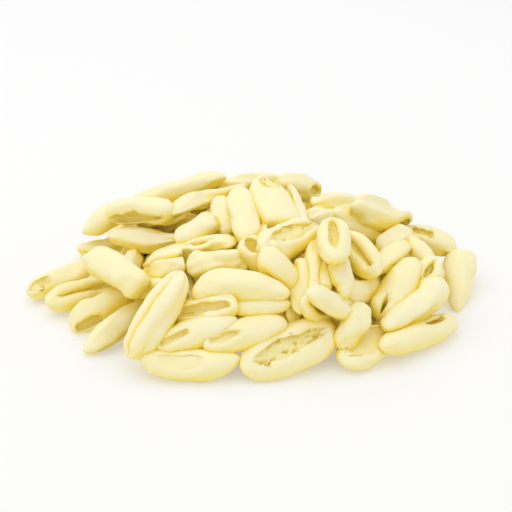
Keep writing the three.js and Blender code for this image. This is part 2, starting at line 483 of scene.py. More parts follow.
def cavatelli_tree():
    inlets = {"Points": "Geometry", "Sort": "Int", "Sides": "Int", "Rings": "Int", "Dough": "Material"}
    tree, inlet = tree_with_inlets("cavatelli", inlets)
    here = tree.node("GeometryNodeInputPosition")
    points = stored(tree, inlet.output("Points"), "middle", here, "FLOAT_VECTOR")
    ball_size = {"Segments": inlet.output("Sides"), "Rings": inlet.output("Rings")}
    ball = stored(tree, tree.node("GeometryNodeMeshUVSphere", {}, ball_size), "ball", here, "FLOAT_VECTOR")
    balls = tree.node("GeometryNodeInstanceOnPoints", {}, {"Points": points, "Instance": ball})
    balls = tree.node("GeometryNodeRealizeInstances", {}, {"Geometry": balls})
    position, inside = cavatello_position(tree)
    shapes = stored(tree, balls, "inside", inside)
    shapes = tree.node("GeometryNodeSetPosition", {}, {"Geometry": shapes, "Position": position})
    height, pit = unevenness(tree)
    shapes = stored(tree, shapes, "pit", pit)
    outwards = tree.scaled(tree.node("GeometryNodeInputNormal"), height)
    heap = tree.node("GeometryNodeSetPosition", {}, {"Geometry": shapes, "Offset": outwards})
    point = tree.node("ShaderNodeSeparateXYZ", {}, {"Vector": here})
    above_ground = tree.math("MAXIMUM", point.output("Z"), GROUND_GAP)
    above_ground = combined(tree, point.output("X"), point.output("Y"), above_ground)
    heap = tree.node("GeometryNodeSetPosition", {}, {"Geometry": heap, "Position": above_ground})

    same_sort = tree.math("COMPARE", number(tree, "sort_number"), inlet.output("Sort"), 0.5)
    shapes = tree.node("GeometryNodeDeleteGeometry", {}, {"Geometry": heap, "Selection": 1 - same_sort})
    # the painted shade of every point, from what stands round it
    shapes = stored(tree, shapes, "painted_shade", painted_shade(tree, heap))
    tree.node("NodeGroupOutput", {}, {"Mesh": coated(tree, shapes, inlet.output("Dough"))})
    return tree.node_tree


# %% From points to a mesh
def finished_piece(name, mesh, group, settings):
    """An object with the plain mesh that a Geometry Nodes group makes of the given one."""
    piece = bpy.data.objects.new(name, mesh)
    scene.collection.objects.link(piece)
    modifier = piece.modifiers.new(name, "NODES")
    modifier.node_group = group
    for socket in group.interface.items_tree:
        if socket.name in settings:
            modifier[socket.identifier] = settings[socket.name]
    depsgraph = bpy.context.evaluated_depsgraph_get()
    finished = bpy.data.meshes.new_from_object(
        piece.evaluated_get(depsgraph), preserve_all_data_layers=True, depsgraph=depsgraph
    )
    piece.modifiers.clear()
    piece.data = finished
    bpy.data.meshes.remove(mesh)
    print(f"{name}: {len(finished.polygons)} faces")
    return piece


def cavatelli_mesh(name, heap, group, settings):
    """One piece made of the cavatelli of a heap that the settings choose."""
    mesh = bpy.data.meshes.new(name)
    mesh.from_pydata([tuple(one["middle"]) for one in heap], [], [])
    for label in SHAPE_NUMBERS:
        values = [float(one[label]) for one in heap]
        mesh.attributes.new(label, "FLOAT", "POINT").data.foreach_set("value", values)
    for label in SHAPE_DIRECTIONS:
        values = np.array([one[label] for one in heap], float).ravel()
        mesh.attributes.new(label, "FLOAT_VECTOR", "POINT").data.foreach_set("vector", values)
    return finished_piece(name, mesh, group, settings)


# %% [markdown]
# ## The look of the dough
#
# Fresh semolina dough is matt and pale cream where light falls straight on it, and some light that
# enters it comes out yellower. The deep gold in its folds and pits, on its undersides and in the gaps
# between pieces is painted shade, laid into its colour by how sheltered each point is. The torn dough
# inside the curl is rougher than the skin, and the hollow it lines is painted a little deeper in colour,
# as painted shade. No two pieces are quite the same tone, and here and there sits a dark speck of bran.
# Patterns are read from where a point is, so they run on over the whole skin without a seam.

# %% The dough's colours
PALE_DOUGH = (0.945, 0.87, 0.58, 1.0)
# a deeper tone of dough for some pieces, and the painted shade of the hollow
DEEP_TONE_AND_HOLLOW_SHADE = (0.945, 0.85, 0.38, 1.0)
# the gold of the painted shade in folds, gaps and undersides
PAINTED_SHADE_GOLD = (0.97, 0.78, 0.14, 1.0)
PAINTED_SHADE_START = 0.19  # the shelter at which the painted shade starts to turn the dough golden
PAINTED_SHADE_END = 0.80
# painted shade in the torn pits
PIT_PAINTED_SHADE = 0.6
USUAL_DEPTH = 0.2  # of the skin's colour, from pale to deep
# painted shade in the hollow of the curl
HOLLOW_PAINTED_SHADE = 0.55
TINT_SPREAD = 0.7
TINT_SEEDS = (7.3, 3.1)
MOTTLE_SIZE = 9 * MM
MOTTLE_SPREAD = 0.5

BRAN = (0.30, 0.20, 0.09, 1.0)
BRAN_STRENGTH = 0.85
SPECK_CELL = 5 * MM
SPECK_RADIUS = 0.26 * MM
SPECK_SHARE = 0.08  # of the cells, that have a speck

GRAIN_SIZE = 0.7 * MM
GRAIN_HEIGHT = 0.05 * MM
GRAIN_ROUGHNESS = 0.6
RIPPLE_SIZE = 2.6 * MM
RIPPLE_HEIGHT = 0.16 * MM
INSIDE_ROUGHENING = 1.5


def attribute(tree, name):
    return tree.node("ShaderNodeAttribute", {"attribute_name": name}, {}).output("Fac")


def colours_mixed(tree, factor, first, second):
    settings = {"data_type": "RGBA"}
    return tree.node("ShaderNodeMix", settings, {0: factor, 6: first, 7: second})


def dough_colour(tree, spot):
    """Pale skin, deeper from piece to piece, with painted shade deeper in the hollow and golden where it is
    sheltered and in the pits, and bran specks.
    """
    inside = attribute(tree, "inside")
    seed = attribute(tree, "seed")
    shade = tree.noise(combined(tree, seed * TINT_SEEDS[0], seed * TINT_SEEDS[1], 0.0), 1.0, 0.0)
    mottle = tree.noise(spot, 1 / MOTTLE_SIZE)
    # painted shade in the hollow, and a tone that differs at random from piece to piece and spot to spot
    depth = inside * HOLLOW_PAINTED_SHADE + (shade - 0.5) * TINT_SPREAD
    depth = depth + (mottle - 0.5) * MOTTLE_SPREAD + USUAL_DEPTH
    colour = colours_mixed(tree, tree.clamped(depth), PALE_DOUGH, DEEP_TONE_AND_HOLLOW_SHADE)
    # painted shade: the dough turns golden where it is sheltered
    painted_shade_share = (attribute(tree, "painted_shade") - PAINTED_SHADE_START) / (PAINTED_SHADE_END - PAINTED_SHADE_START)
    # the torn pits get painted shade too
    painted_shade_share = painted_shade_share + attribute(tree, "pit") * PIT_PAINTED_SHADE
    colour = colours_mixed(tree, tree.clamped(painted_shade_share), colour, PAINTED_SHADE_GOLD)

    cells = tree.node("ShaderNodeTexVoronoi", {"feature": "F1"}, {"Vector": spot, "Scale": 1 / SPECK_CELL})
    cell_number = tree.node("ShaderNodeSeparateXYZ", {}, {"Vector": cells.output("Color")})
    near = tree.math("LESS_THAN", cells.output("Distance"), SPECK_RADIUS / SPECK_CELL)
    chosen = tree.math("LESS_THAN", cell_number.output("X"), SPECK_SHARE)
    return colours_mixed(tree, near * chosen * BRAN_STRENGTH, colour, BRAN)


def dough_bump(tree, spot):
    ripple = tree.noise(spot, 1 / RIPPLE_SIZE) * RIPPLE_HEIGHT
    grain = tree.noise(spot, 1 / GRAIN_SIZE, roughness=GRAIN_ROUGHNESS) * GRAIN_HEIGHT
    rough = 1 + attribute(tree, "inside") * INSIDE_ROUGHENING
    height = (ripple + grain) * rough
    return tree.node("ShaderNodeBump", {}, {"Height": height, "Distance": 1.0, "Strength": 1.0})


# %% The dough's material
LEAST_ROUGHNESS = 0.55
ROUGHNESS_SPREAD = 0.2
SPECULAR_LEVEL = 0.2
LIGHT_THAT_ENTERS = 0.2
LIGHT_RUNS = 1.5 * MM  # how far it gets inside the dough, with the next share of it in each colour
LIGHT_RUN_SHARES = (1.0, 0.95, 0.85)


def dough_material():
    material = bpy.data.materials.new("fresh_dough")
    material.use_nodes = True
    material.node_tree.nodes.clear()
    tree = Tree(material.node_tree)
    spot = tree.node("ShaderNodeTexCoord").output("Object")
    roughness = tree.noise(spot, 1 / RIPPLE_SIZE, 1.0) * ROUGHNESS_SPREAD + LEAST_ROUGHNESS
    shader = tree.node("ShaderNodeBsdfPrincipled", {}, {
        "Base Color": dough_colour(tree, spot),
        "Roughness": roughness,
        "Normal": dough_bump(tree, spot),
        "Specular IOR Level": SPECULAR_LEVEL,
        "Subsurface Weight": LIGHT_THAT_ENTERS,
        "Subsurface Radius": LIGHT_RUN_SHARES,
        "Subsurface Scale": LIGHT_RUNS,
    })
    tree.node("ShaderNodeOutputMaterial", {}, {"Surface": shader})
    return material


dough = dough_material()


# %% [markdown]
# ## The kinds of cavatelli
#
# Dragging dough by hand never gives the same curl twice, but four sorts can be told apart: wide boats,
# pieces with a narrow slit, thick rolls whose two lips press together like a coffee bean, and pieces
# that closed up altogether. Each sort is a set of numbers for the rule above, and any cavatello may
# differ from its sort. Sizes are in millimetres.

# %% The four sorts
SORTS = {
    "boat": dict(width=13.0, gap=6.5, wall=3.0, depth=0.75, mouth_reach=0.8, bend=1.0, torn=1.0, crease=0.2),
    "slit": dict(width=12.0, gap=2.6, wall=3.3, depth=0.8, mouth_reach=0.84, bend=0.3, torn=0.7, crease=0.3),
    "roll": dict(width=12.5, gap=0.9, wall=4.6, mouth_reach=0.94, bend=0.4, torn=0.2, crease=1.0),
    "shut": dict(width=11.5, gap=0.4, wall=3.6, mouth_reach=0.8, bend=0.0, torn=0.2, crease=0.1, depth=0.0),
}
ANY_SORT = dict(
    length=36.0, flatness=0.9, skew=0.0, lap=0.4, depth=1.0, mouth_middle=0.0, twist=0.0, arc=0.0,
    sway=0.0, start_tip=3.2, end_tip=3.2, folds=1.0,
)
IN_MILLIMETRES = ("length", "width", "wall", "gap", "bend", "arc", "sway")


def cavatello(sort, **own):
    """The numbers of one cavatello of a sort, in metres."""
    numbers = dict(ANY_SORT, **SORTS[sort])
    numbers.update(own)
    for name in IN_MILLIMETRES:
        numbers[name] = numbers[name] * MM
    numbers["sort"] = sort
    numbers["sort_number"] = list(SORTS).index(sort)
    return numbers


def mean_radius(one):
    """Half the mean of a cavatello's width and its height, which is the width times its flatness."""
    return one["width"] * (1 + one["flatness"]) / 4


# %% [markdown]
# ## The bed of the heap
#
# The outer pieces of a loose heap lie on a low dome, and at its foot they lie on the ground. The dome's
# height over a point says where the middle of a piece may be, and a sight line meets it where the
# photograph shows that piece. A line that passes just over the skyline takes its nearest point instead.

# %% Where a sight line meets the bed
PIECE_RADIUS = 6.0 * MM
BED_HALF_WIDTH = HEAP_HALF_WIDTH - PIECE_RADIUS
BED_HALF_DEPTH = HEAP_HALF_DEPTH - PIECE_RADIUS
BED_RISE = HEAP_HEIGHT - 2 * PIECE_RADIUS
SIGHT_STEPS = np.arange(0.40, 0.80, 0.0002)  # from the camera along a sight line
SKYLINE_SLACK = 12 * MM


def reach_squared(x, y):
    return (x / BED_HALF_WIDTH) ** 2 + (y / BED_HALF_DEPTH) ** 2


def bed_height(x, y):
    return PIECE_RADIUS + BED_RISE * np.maximum(1 - reach_squared(x, y), 0)


def bed_normal(x, y):
    slope_x = -2 * BED_RISE * x / BED_HALF_WIDTH ** 2
    slope_y = -2 * BED_RISE * y / BED_HALF_DEPTH ** 2
    inside = 1.0 if reach_squared(x, y) < 1 else 0.0
    normal = np.array([-slope_x * inside, -slope_y * inside, 1.0])
    return normal / np.linalg.norm(normal)


def on_bed(pixel, lift):
    """The point where the sight line of a pixel meets the bed, raised by lift."""
    points = CAMERA_PLACE + SIGHT_STEPS[:, None] * sight_line(pixel)
    x, y, z = points.T
    above = z - bed_height(x, y) - lift
    over_heap = reach_squared(x, y) < 1
    crossed = np.flatnonzero((above < 0) & over_heap)
    nearest = np.argmin(np.where(over_heap, above, np.inf))
    if len(crossed):
        return points[crossed[0]]
    if over_heap.any() and above[nearest] < SKYLINE_SLACK and y[nearest] > 0:
        return points[nearest]
    return points[np.argmax(above < 0)]


# %% [markdown]
# ## The cavatelli that the photograph shows
#
# Each visible piece is listed from the back of the heap to the front, so that a later one lies nearer
# to the camera wherever two overlap. Its two tips are pixels of the photograph. Its mouth faces a
# direction in the camera's terms: right, up and towards the camera. The rest is its sort, its width
# and what is special about its curl.

# %% Placing a visible cavatello
SHORTEST = 25 * MM
LONGEST = 43 * MM
GROUND = "on the ground"
FIRST_SEED = 3.1
SEED_STEP = 1.7
seen_heap = []


def unit(vector):
    return vector / np.linalg.norm(vector)


def on_ground(pixel, height):
    """The point where the sight line of a pixel is at a height over the ground."""
    line = sight_line(pixel)
    return CAMERA_PLACE + line * (height - CAMERA_PLACE[2]) / line[2]


def seen(sort, start, end, facing, lift=0.0, **own):
    """Adds a cavatello whose tips lie on the sight lines of two pixels."""
    middle_pixel = ((start[0] + end[0]) / 2, (start[1] + end[1]) / 2)
    shape = cavatello(sort, **own)
    if lift is GROUND:
        height = mean_radius(shape)
        middle, first, last = (on_ground(pixel, height) for pixel in (middle_pixel, start, end))
    else:
        middle, first, last = (on_bed(pixel, lift * MM) for pixel in (middle_pixel, start, end))
    view = sight_line(middle_pixel)
    distance = np.linalg.norm(middle - CAMERA_PLACE)
    sideways = (sight_line(end) - sight_line(start)) * distance
    width = np.linalg.norm(sideways)
    deep = float((last - first) @ view)
    most = math.sqrt(max(LONGEST ** 2 - width ** 2, 0))
    least = math.sqrt(max(SHORTEST ** 2 - width ** 2, 0))
    deep = math.copysign(min(max(abs(deep), least), most), deep)
    along = sideways + view * deep

    one = dict(shape, length=np.linalg.norm(along), middle=middle)
    one["along"] = unit(along)
    one["facing"] = facing[0] * CAMERA_RIGHT + facing[1] * CAMERA_UP + facing[2] * CAMERA_BACK
    one["sight"] = view
    one["sight_plane"] = unit(np.cross(sight_line(start), sight_line(end)))
    one["sight_width"] = width
    one["grounded"] = lift is GROUND
    one["seed"] = len(seen_heap) * SEED_STEP + FIRST_SEED
    seen_heap.append(one)


# %% The back of the heap
UP = (0.0, 0.88, 0.47)
AWAY = (0.0, -0.4, -0.9)

seen("shut", (80, 249), (121, 246), UP, width=8, lift=GROUND)
seen("shut", (83, 233), (132, 206), UP, start_tip=1.7, end_tip=2.2)
seen("shut", (150, 227), (194, 219), UP, width=10, lift=-3)
seen("shut", (214, 185), (286, 184), AWAY, width=9, lift=-2)
seen("shut", (138, 222), (186, 214), AWAY, width=9, lift=-5)
seen("boat", (278, 184), (317, 191), (0.25, -0.2, 0.94), width=10.5, gap=5, wall=2.6, mouth_middle=0.6,
     mouth_reach=0.34, depth=0.6, torn=0.8, end_tip=5, crease=0)
seen("shut", (126, 207), (228, 178), (0.0, -0.9, 0.3), arc=-2, start_tip=1.8, end_tip=2.6)
seen("shut", (168, 215), (250, 185), AWAY, width=7.8, sway=-1.2, start_tip=2.4, end_tip=3, lift=1)
seen("boat", (106, 214), (174, 209), (0.05, -0.6, 0.8), width=12, gap=7, wall=2.2, lap=0, crease=0,
     depth=0.7, mouth_reach=0.95, start_tip=3.4, end_tip=5, torn=0.6, folds=0.5, lift=1)
seen("shut", (105, 236), (182, 243), (0.1, 0.98, 0.2), width=11, bend=2.0, start_tip=2.0, end_tip=2.0,
     lift=2)
seen("shut", (312, 206), (362, 207), AWAY, width=11, start_tip=2.6, end_tip=2.6)
seen("shut", (305, 222), (347, 217), AWAY, width=10.5, end_tip=2.8)
seen("shut", (288, 184), (308, 230), (0.8, 0.5, -0.2), width=7.5, start_tip=3.4, end_tip=1.8, lift=1)
seen("boat", (261, 178), (283, 229), (0.3, 0.5, 0.8), width=19, gap=8, wall=3.4, flatness=0.6,
     depth=0.35, torn=1.6, lap=-0.6, skew=0.3, mouth_middle=-0.5, mouth_reach=0.38, start_tip=3.0,
     end_tip=6.5, crease=0, folds=0.6, lift=2)
seen("shut", (332, 212), (393, 241), AWAY, width=13.5, skew=0.2, start_tip=2.6, end_tip=3.0, folds=1.3,
     lift=2)
seen("slit", (355, 206), (406, 226), (-0.1, -0.1, 0.98), gap=5, wall=2.6, mouth_middle=0.8,
     mouth_reach=0.35, depth=0.6, start_tip=3.4, end_tip=6, torn=1.6, crease=0, folds=1.4, lift=1)
seen("slit", (402, 229), (455, 249), (0.1, 0.6, 0.8), width=10.5, gap=2.0, mouth_middle=-0.3,
     mouth_reach=0.35, depth=0.5, torn=1.3, start_tip=3.4, end_tip=2.0, crease=0.1)

# %% The middle, on the left
seen("shut", (222, 198), (226, 236), AWAY, width=10, start_tip=2.6, lift=1)
seen("shut", (250, 222), (267, 240), AWAY, width=8, lift=-1)
seen("shut", (236, 190), (248, 240), AWAY, start_tip=3.6, end_tip=4.8, lift=3)
seen("shut", (177, 243), (217, 219), AWAY, width=9.5, end_tip=4.5, lift=1)
seen("boat", (181, 259), (216, 262), (-0.6, 0.3, 0.75), width=8.5, gap=4, wall=2.2, torn=1.4,
     mouth_middle=-0.6, mouth_reach=0.34, depth=0.8, crease=0, start_tip=4, lift=1)
seen("slit", (146, 262), (238, 242), (-0.1, 0.75, 0.65), width=8.5, gap=3.0, wall=2.4, lap=-0.6,
     mouth_middle=0.25, mouth_reach=0.25, depth=0.6, crease=0.1, start_tip=1.6, end_tip=4.2, lift=2)
seen("shut", (143, 266), (182, 252), UP, width=8, start_tip=1.7)
seen("shut", (146, 277), (183, 266), AWAY, width=10.5, lift=-1)
seen("shut", (187, 269), (250, 258), AWAY, width=10.5, sway=-1.2, twist=0.8, folds=1.3)
seen("boat", (246, 240), (274, 276), (-0.3, 0.6, 0.74), width=12.5, gap=6, wall=2.6, lap=0,
     mouth_middle=-0.58, mouth_reach=0.38, depth=0.6, torn=0.3, crease=0, folds=0.2, start_tip=3.6,
     end_tip=2.6, lift=2.5)

# %% The middle, on the right
seen("boat", (319, 229), (260, 252), (-0.25, 0.4, 0.88), width=14.5, wall=3.6, depth=0.4, start_tip=2.2,
     end_tip=2.8, lift=2)
seen("shut", (262, 248), (298, 293), AWAY, width=12.5, arc=1.2, start_tip=1.8, end_tip=2.8, lift=3)
seen("shut", (290, 288), (291, 319), AWAY, width=7, lift=-3)
seen("shut", (300, 258), (302, 314), AWAY, width=7.5, lift=-2)
seen("shut", (315, 238), (313, 299), (0.9, 0.0, -0.4), width=8, start_tip=1.2, arc=0.8, lift=1)
seen("shut", (380, 250), (406, 234), AWAY, width=12, start_tip=2.8, lift=-2)
seen("shut", (372, 272), (411, 244), AWAY, width=10.5, start_tip=2.6, end_tip=1.5)
seen("shut", (411, 239), (432, 272), AWAY, width=10.5, skew=0.2, start_tip=1.8, end_tip=2.8)
seen("boat", (434, 266), (417, 294), (-0.1, 0.45, 0.9), width=12, gap=4.5, wall=2.6, mouth_middle=-0.25,
     mouth_reach=0.5, depth=0.5, crease=0.1, start_tip=3.0, lift=-1)
seen("shut", (343, 295), (386, 286), AWAY, width=11, end_tip=1.7)
seen("boat", (343, 234), (378, 276), (-0.15, 0.2, 0.97), width=12.5, gap=2.2, wall=4.4, depth=0.7,
     crease=0.1, mouth_reach=0.82, torn=0.6, start_tip=2.4, end_tip=2.4, folds=0.3, lift=3)
seen("roll", (333, 255), (337, 301), (-0.5, -0.1, 0.86), wall=4.2, gap=0.8, twist=0.7, mouth_middle=0.2,
     mouth_reach=0.7, lift=3)
seen("boat", (332, 223), (335, 263), (0.0, 0.12, 0.98), gap=3.6, wall=4.2, depth=0.7, torn=0.5,
     mouth_middle=-0.15, start_tip=2.4, end_tip=2.4, skew=-0.15, crease=0.1, folds=0.5, lift=5)
seen("boat", (415, 258), (381, 320), (-0.45, -0.55, 0.7), gap=4, wall=2.4, mouth_middle=0.76,
     mouth_reach=0.22, depth=0.9, skew=0.1, start_tip=1.7, end_tip=4.2, lap=0.8, crease=0, folds=1.2,
     lift=3)
seen("shut", (461, 251), (457, 310), AWAY, width=13, flatness=0.7, skew=-0.25, start_tip=4.5,
     end_tip=2.2, crease=0, folds=0.9, lift=GROUND)

# %% The left end
seen("slit", (27, 293), (90, 268), (-0.3, 0.3, 0.9), width=11.5, gap=5.5, wall=2.4, mouth_middle=-0.66,
     mouth_reach=0.32, depth=0.4, crease=0.1, start_tip=2.4, end_tip=4, torn=1.4, folds=0.6, lift=GROUND)
seen("boat", (45, 303), (120, 285), (0.05, 0.35, 0.93), width=12.5, gap=2.2, wall=4.2, depth=0.5,
     crease=0.1, start_tip=3.0, end_tip=2.6, torn=0.3, folds=0.5, lift=GROUND)
seen("shut", (120, 300), (162, 281), UP, width=9.5, lift=-2)
seen("boat", (71, 329), (136, 289), (0.2, -0.5, 0.84), gap=4.0, wall=3.2, mouth_middle=-0.5,
     mouth_reach=0.4, end_tip=3.0, depth=0.6, crease=0, torn=0.2, lift=GROUND)
seen("shut", (138, 250), (122, 284), AWAY, width=8, start_tip=2.6, folds=0.4, lift=1)
seen("shut", (84, 253), (124, 272), AWAY, width=10.5, start_tip=2.8, lift=GROUND)
seen("shut", (88, 256), (143, 286), AWAY, width=13, start_tip=4.5, end_tip=6.0, lift=2)
seen("boat", (84, 350), (152, 304), (0.4, -0.88, 0.25), width=12, gap=5, start_tip=1.7, folds=0.6,
     lift=GROUND)

# %% The front
seen("shut", (228, 318), (288, 315), AWAY, width=8, lift=-4)
seen("shut", (225, 309), (291, 304), AWAY, width=8.5, skew=0.1, start_tip=3, end_tip=1.8, folds=0.3)
seen("shut", (192, 289), (290, 287), AWAY, width=12, arc=-3.5, skew=-0.3, start_tip=2.0, end_tip=3.6,
     folds=0.6, lift=4)
seen("boat", (168, 316), (238, 305), (0.05, 0.25, 0.96), width=12, gap=3.4, wall=3.4, depth=0.6,
     start_tip=2.2, end_tip=2.8, torn=0.5, crease=0, mouth_middle=0.05, mouth_reach=0.88, lift=2)
seen("slit", (302, 303), (345, 323), (-0.4, 0.3, 0.8), width=9, gap=3, mouth_middle=-0.5,
     mouth_reach=0.4, lift=-3)
seen("roll", (131, 359), (184, 271), (-0.65, -0.05, 0.76), width=13.5, wall=4.0, gap=1.6, lap=0.8,
     twist=-0.3, mouth_middle=-0.25, mouth_reach=0.75, torn=0.6, end_tip=1.8, lift=6)
seen("shut", (309, 292), (357, 319), AWAY, width=9, start_tip=3.4, end_tip=5.0, lift=2)
seen("boat", (340, 361), (392, 331), (-0.15, 0.45, 0.88), width=16, gap=10, flatness=0.6, wall=2.8,
     depth=0.3, mouth_middle=0.1, mouth_reach=0.9, torn=0.3, start_tip=2.6, end_tip=2.0, crease=0,
     folds=0.6, lift=GROUND)
seen("shut", (365, 307), (340, 347), AWAY, width=10.5, end_tip=2.8, lift=7)
seen("slit", (153, 347), (238, 320), (-0.1, 0.45, 0.89), gap=2.4, wall=3.4, twist=0.8, depth=0.4,
     torn=0.15, crease=0, folds=0.4, mouth_middle=-0.5, mouth_reach=0.4, start_tip=3.0, end_tip=2.4,
     lift=1)
seen("slit", (201, 343), (288, 324), (-0.1, 0.3, 0.95), gap=3.6, wall=3.2, lap=0.3, depth=0.4, torn=0.15,
     crease=0, folds=0.4, mouth_middle=-0.5, mouth_reach=0.4, start_tip=3.0, end_tip=2.4)
seen("shut", (443, 284), (384, 328), (-0.7, -0.2, 0.7), width=12.5, lap=0.5, twist=0.6, crease=0,
     folds=1.6, start_tip=3.8, lift=1)
seen("slit", (381, 348), (456, 320), (-0.15, 0.6, 0.78), width=11.5, gap=2.2, mouth_middle=0.35,
     mouth_reach=0.24, crease=0, skew=0.1, start_tip=3.0, lap=0.6, folds=0.5, lift=GROUND)
seen("boat", (139, 362), (240, 364), (0.0, 0.35, 0.94), width=12, gap=6, wall=3.6, depth=0.22, torn=0.4,
     arc=-2.6, mouth_middle=-0.15, mouth_reach=0.5, start_tip=3.6, end_tip=1.9, crease=0, folds=0.4,
     lift=GROUND)
seen("boat", (241, 369), (335, 328), (-0.1, 0.27, 0.96), width=19.5, gap=6.4, wall=5.0, flatness=0.62,
     depth=0.4, skew=0.1, mouth_reach=0.84, start_tip=2.8, end_tip=2.4, torn=1.8, crease=0, folds=0.5,
     lift=GROUND)
print(f"{len(seen_heap)} cavatelli that the photograph shows")

# %% [markdown]
# ## The cavatelli that it doesn't show
#
# The back of the heap is hidden, and so is what the outer pieces lie on. Both are filled by throwing
# darts: a random place is taken if it is far enough from every piece that is already there. The
# hidden pieces take a random sort and curl, so that the back looks like the front.

# %% Filling the rest of the bed
chance = np.random.default_rng(26)
SPACING = 9.5 * MM
MIDDLE_LINE = 0.4  # how far a middle line reaches on either side, of the length
LAYERS = (-2.0, -7.0, -13.0)  # from the bed, in millimetres
FARTHEST = 0.98  # of the bed
DARTS = 3000
SORT_SHARES = {"boat": 0.25, "slit": 0.3, "roll": 0.15, "shut": 0.3}
LOWEST_MIDDLE = 0.8 * PIECE_RADIUS
LENGTHS = (29, 38)  # in millimetres, as the spreads of arc and sway are
WIDTH_SHARES = (0.78, 1.06)
GAP_SHARES = (0.6, 1.15)
SKEW_SPREAD = 0.15
LAP_SPREAD = 0.6
TWIST_SPREAD = 0.5
ARC_SPREAD = 1.2
SWAY_SPREAD = 0.8
FACING_SPREAD = 0.6
MOUTH_MIDDLES = (-0.25, 0.25)
TIPS = (2.0, 4.5)
SEEDS = (0, 400)


def clearance(point, heap):
    """The distance from a point to the nearest middle line of a heap's pieces."""
    middles = np.array([one["middle"] for one in heap])
    alongs = np.array([one["along"] for one in heap])
    halves = np.array([one["length"] for one in heap]) * MIDDLE_LINE
    offsets = point - middles
    runs = np.clip((offsets * alongs).sum(1), -halves, halves)
    return np.linalg.norm(offsets - runs[:, None] * alongs, axis=1).min()


def random_cavatello(x, y, lift):
    """A cavatello of any sort that lies along the bed, with its mouth roughly away from it."""
    sort = chance.choice(list(SORT_SHARES), p=list(SORT_SHARES.values()))
    one = cavatello(
        sort,
        length=chance.uniform(*LENGTHS),
        width=SORTS[sort]["width"] * chance.uniform(*WIDTH_SHARES),
        gap=SORTS[sort]["gap"] * chance.uniform(*GAP_SHARES),
        skew=np.clip(chance.normal(0, SKEW_SPREAD), -2 * SKEW_SPREAD, 2 * SKEW_SPREAD),
        lap=np.clip(chance.normal(0, LAP_SPREAD), -1, 1),
        twist=chance.normal(0, TWIST_SPREAD),
        arc=chance.normal(0, ARC_SPREAD),
        sway=chance.normal(0, SWAY_SPREAD),
        mouth_middle=chance.uniform(*MOUTH_MIDDLES),
        start_tip=chance.uniform(*TIPS),
        end_tip=chance.uniform(*TIPS),
    )
    normal = bed_normal(x, y)
    heading = chance.uniform(0, 2 * math.pi)
    along = np.array([math.cos(heading), math.sin(heading), 0.0])
    one["middle"] = np.array([x, y, bed_height(x, y)]) + normal * lift
    one["along"] = unit(along - (along @ normal) * normal)
    one["facing"] = normal + chance.normal(0, FACING_SPREAD, 3)
    one["seed"] = chance.uniform(*SEEDS)
    return one


# %% [markdown]
# ## Settling the heap
#
# So far the pieces cut through each other or hang in the air. A rigid body simulation would let them
# roll away from where the photograph shows them, so they are settled by a short relaxation instead.
# Every cavatello is a row of beads. In each step it sinks a little, beads that overlap push each other
# apart, and the ground and the core hold everything up. A visible piece is pulled back to its sight
# lines, and where two overlap in the picture, the one nearer to the camera stays nearer.

# %% A row of beads for each cavatello
BEADS = 7
LAST_BEAD = 0.84  # its place, of half the length
BEAD_PLACES = np.linspace(-LAST_BEAD, LAST_BEAD, BEADS)
BLUNTNESS = 2.4  # of every tip, for a row of beads
SNUG = 0.9  # of the true radius, as dough gives way where it touches
CORE_SHARE = 0.45  # of the heap's height, and of the area that it covers
NEIGHBOURHOOD = 16 * MM
SURROUNDED = 5.5 * MM


def bead_rows(heap):
    """The beads of all pieces, one row each, and their radii."""
    middles = np.array([one["middle"] for one in heap])
    axes = np.array([one["along"] for one in heap])
    halves = np.array([one["length"] for one in heap]) / 2
    return placed_beads(middles, axes, halves), bead_radii(heap)


def placed_beads(middles, axes, halves):
    return middles[:, None] + (BEAD_PLACES * halves[:, None])[..., None] * axes[:, None]


def bead_radii(heap):
    radii = np.array([mean_radius(one) for one in heap])
    skews = np.array([one["skew"] for one in heap])[:, None]
    shifted = BEAD_PLACES - skews * (1 - BEAD_PLACES ** 2)
    return radii[:, None] * np.sqrt(1 - np.abs(shifted) ** BLUNTNESS) * SNUG


def core_height(points):
    rise = 1 - reach_squared(points[..., 0], points[..., 1]) / CORE_SHARE
    return np.where(rise > 0, HEAP_HEIGHT * CORE_SHARE * rise, -1.0)


def out_of_sight(heap):
    """The pieces of a heap that the visible ones surround and cover, seen from the camera."""
    seen_beads, seen_radii = bead_rows(seen_heap)
    seen_offsets = seen_beads.reshape(-1, 3) - CAMERA_PLACE
    beads, _ = bead_rows(heap)
    offsets = beads.reshape(-1, 3) - CAMERA_PLACE
    distances = np.linalg.norm(offsets, axis=1)[:, None]
    views = offsets / distances
    depths = views @ seen_offsets.T
    aside = seen_offsets[None] - depths[..., None] * views[:, None]
    far_aside = np.linalg.norm(aside, axis=2)

    near = (far_aside < NEIGHBOURHOOD)[..., None]
    centres = (aside * near).sum(1) / np.maximum(near.sum(1), 1)
    surrounded = near.any(1)[:, 0] & (np.linalg.norm(centres, axis=1) < SURROUNDED)
    over = far_aside < seen_radii.ravel()
    in_front = (over & (depths > distances)).any(1) & ~(over & (depths < distances)).any(1)
    hidden = (surrounded & ~in_front).reshape(beads.shape[:2]).all(1)
    return [one for one, kept in zip(heap, hidden) if kept]


def fill_bed(heap, lift):
    """Adds cavatelli at a lift from the bed where there is room and the camera can't see them."""
    for _ in range(DARTS):
        x, y = chance.uniform(-1, 1, 2) * FARTHEST
        if x * x + y * y > FARTHEST ** 2:
            continue
        dart = random_cavatello(x * BED_HALF_WIDTH, y * BED_HALF_DEPTH, lift)
        above_ground = dart["middle"][2] > LOWEST_MIDDLE
        if above_ground and clearance(dart["middle"], seen_heap + heap) > SPACING:
            heap.extend(out_of_sight([dart]))


# %% One step of the settling
NEVER_ZERO = 1e-9  # keeps two beads at one place from a division by zero


